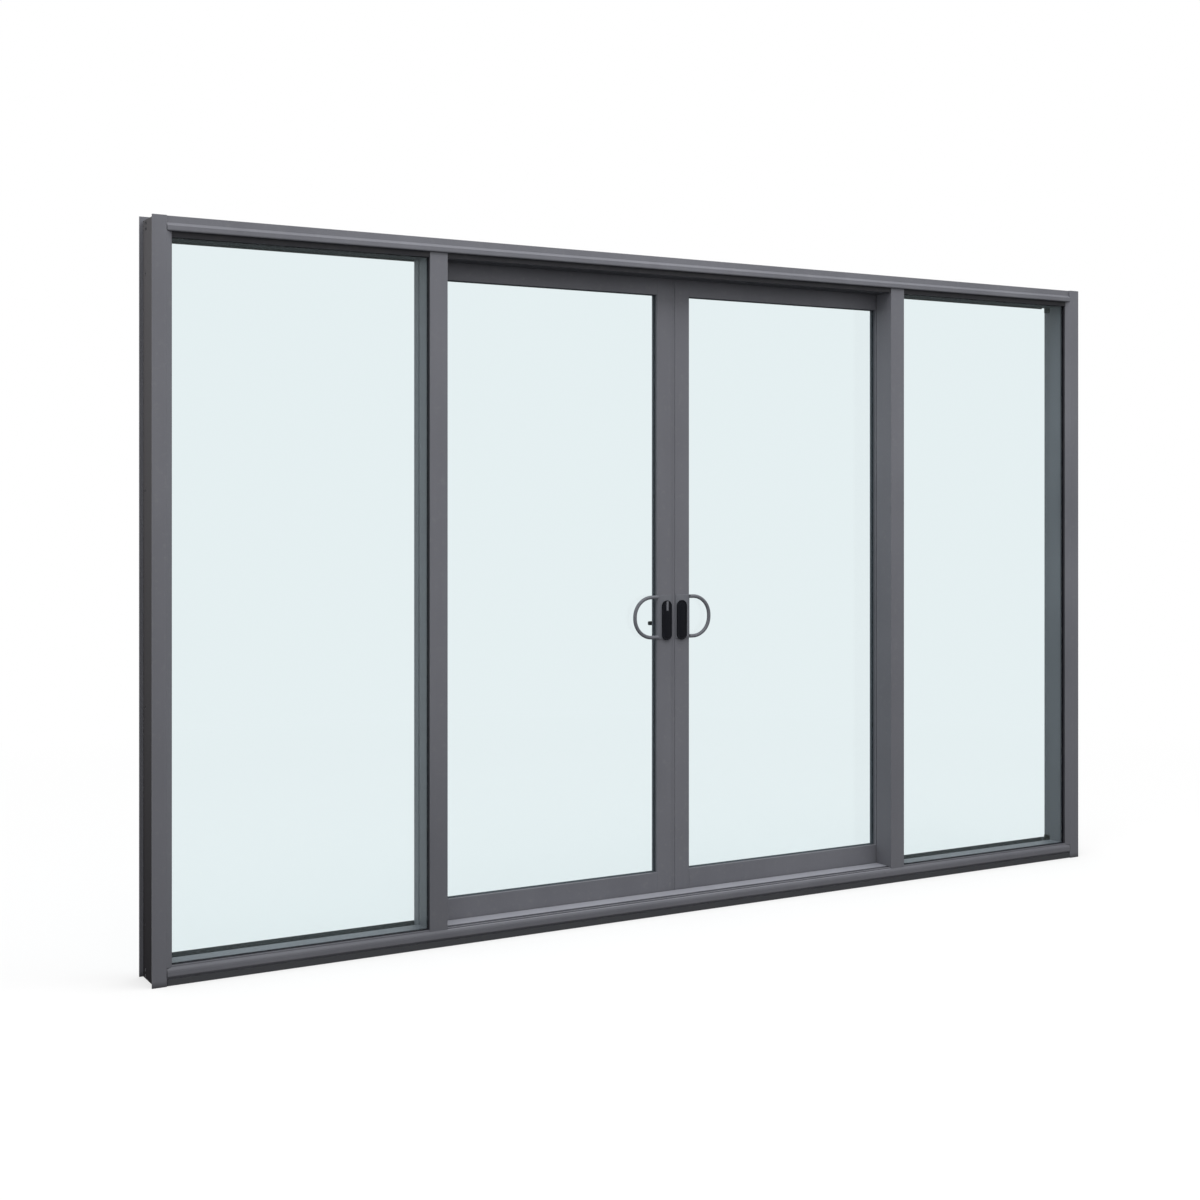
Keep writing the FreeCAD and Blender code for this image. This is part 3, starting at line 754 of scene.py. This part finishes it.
def ovalPlate(name, node, body, facing):
    # a cylinder stretched to a stadium, with a raised rim and a pad in its recess
    low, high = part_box(node)
    wide = high.x - low.x
    middle = low.z + wide / 2
    deselectAll()
    bpy.ops.mesh.primitive_cylinder_add(
        vertices=lock["points"], radius=wide / 2, depth=high.y - low.y,
        location=((low.x + high.x) / 2, (low.y + high.y) / 2, middle),
        rotation=(math.pi / 2, 0, 0))
    plate = applied(bpy.context.object)
    stretch = high.z - low.z - wide
    for point in plate.data.vertices:
        if point.co.z > middle - lock["slack"]:
            point.co.z += stretch
    pickFaces(plate, 1, facing)
    bpy.ops.mesh.inset(thickness=lock["rim"], depth=0)
    bpy.ops.mesh.inset(thickness=lock["ease"], depth=-lock["recess"])
    bpy.ops.mesh.inset(thickness=lock["padInset"], depth=0)
    bpy.ops.mesh.inset(thickness=lock["ease"], depth=lock["padRise"])
    bpy.ops.object.mode_set(mode="OBJECT")
    eased(plate, lock["ease"])
    bpy.ops.object.shade_smooth_by_angle(angle=math.radians(lock["smooth"]))
    settle(plate, name, body, "lock_black", node)


for title in sideSigns:
    side = title.lower()
    ovalPlate("lockFace" + title, "lock_plate_" + side, "leaf_" + side, -1)
    ovalPlate("innerFace" + title, "inner_plate_" + side, "leaf_" + side, 1)

notch = {
    "across": (0.42, 0.63),  # its two sides, as shares of the left lock plate's width
    "high": 0.030,
    "deep": 0.0004,
    "top": 0.003,
    "ease": 0.0002,
}
low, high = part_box("lock_plate_left")
start, end = [low.x + (high.x - low.x) * share for share in notch["across"]]
inlay = block((start, low.y, high.z - notch["top"] - notch["high"]),
              (end, low.y + lock["recess"] + notch["deep"], high.z - notch["top"]))
settle(eased(inlay, notch["ease"], 1), "lockNotchLeft", "leaf_left", "leaf_coat")
print("lock plates made")

room = {
    "floorHalf": 60,
    "drop": 0.0005,
    "world": 1.2,
    "matt": 0.72,
    "shadow": 0.38,  # near the door, this share of the floor's look takes its shadow
    "shadowRadius": (2.2, 5.0),  # and the shadow fades out between these
    "bounce": 0.13,  # how much of the light that falls on the floor comes back up
}
white = (1, 1, 1, 1)


def grey(level):
    return (level, level, level, 1)


def seenWhite(finish):
    # 1 for rays from the camera, from gloss and through glass, 0 for rays that carry light
    rays = ("Is Camera Ray", "Is Glossy Ray", "Is Transmission Ray")
    camera, glossy, through = [finish.node("ShaderNodeLightPath", out=ray) for ray in rays]
    return camera.orElse(glossy).orElse(through)


deselectAll()
bpy.ops.mesh.primitive_plane_add(size=2 * room["floorHalf"], location=(0, 0, -room["drop"]))
floor = bpy.context.object
floor.name = "studioFloor"
paper = newFinish("floorPaper")
matt = paper.node("ShaderNodeBsdfDiffuse", None, {"Color": grey(room["matt"])})
glow = paper.node("ShaderNodeEmission", None, {"Color": white, "Strength": 1.0})
away = paper.node("ShaderNodeVectorMath", {"operation": "LENGTH"}, {0: paper.spot()}, out="Value")
fade = paper.ramp(away, *room["shadowRadius"])
shown = paper.either((1 - room["shadow"]) + room["shadow"] * fade, matt, glow)
dull = paper.node("ShaderNodeBsdfDiffuse", None, {"Color": grey(room["bounce"])})
floor.data.materials.append(paper.done(paper.either(seenWhite(paper), dull, shown)))

sky = Finish(bpy.data.worlds.new("studio"))
lighting = sky.node("ShaderNodeBackground", None, {"Color": white, "Strength": room["world"]})
backdrop = sky.node("ShaderNodeBackground", None, {"Color": white, "Strength": 1.0})
sky.done(sky.either(seenWhite(sky), lighting, backdrop), "ShaderNodeOutputWorld")
bpy.context.scene.world = sky.owner

lamps = {
    "overhead": {"at": (0, -1.5, 4.7), "aim": (0, 0, 0.9), "size": (5, 2.5), "watts": 115},
    "front": {"at": (-1.7, -5.5, 2.8), "aim": (0, 0, 1.1), "size": (3, 3), "watts": 12},
    "side": {"at": (-14, -1, 1.6), "aim": (0, 0, 1.1), "size": (6, 3), "watts": 240},
}
for name, lamp in lamps.items():
    light = bpy.data.lights.new(name, "AREA")
    light.shape = "RECTANGLE"
    light.size, light.size_y = lamp["size"]
    light.energy = lamp["watts"]
    holder = bpy.data.objects.new(name, light)
    bpy.context.scene.collection.objects.link(holder)
    holder.location = lamp["at"]
    beam = Vector(lamp["aim"]) - Vector(lamp["at"])
    holder.rotation_euler = beam.to_track_quat("-Z", "Y").to_euler()

shot = {
    "at": (-2.928, -4.646, 1.323),
    "turn": -29.63,
    "picture": 1200,  # the photo's width, its focal length and its horizon, in pixels
    "focal": 1690,
    "horizon": 500.5,
    "sensor": 36,
}
lens = bpy.data.cameras.new("photoCamera")
lens.sensor_fit = "HORIZONTAL"
lens.sensor_width = shot["sensor"]
lens.lens = shot["sensor"] * shot["focal"] / shot["picture"]
lens.shift_y = (shot["horizon"] - shot["picture"] / 2) / shot["picture"]
camera = bpy.data.objects.new("photoCamera", lens)
bpy.context.scene.collection.objects.link(camera)
camera.location = shot["at"]
camera.rotation_euler = (math.radians(90), 0, math.radians(shot["turn"]))
bpy.context.scene.camera = camera
bpy.context.scene.view_settings.view_transform = "Standard"
print("studio set")
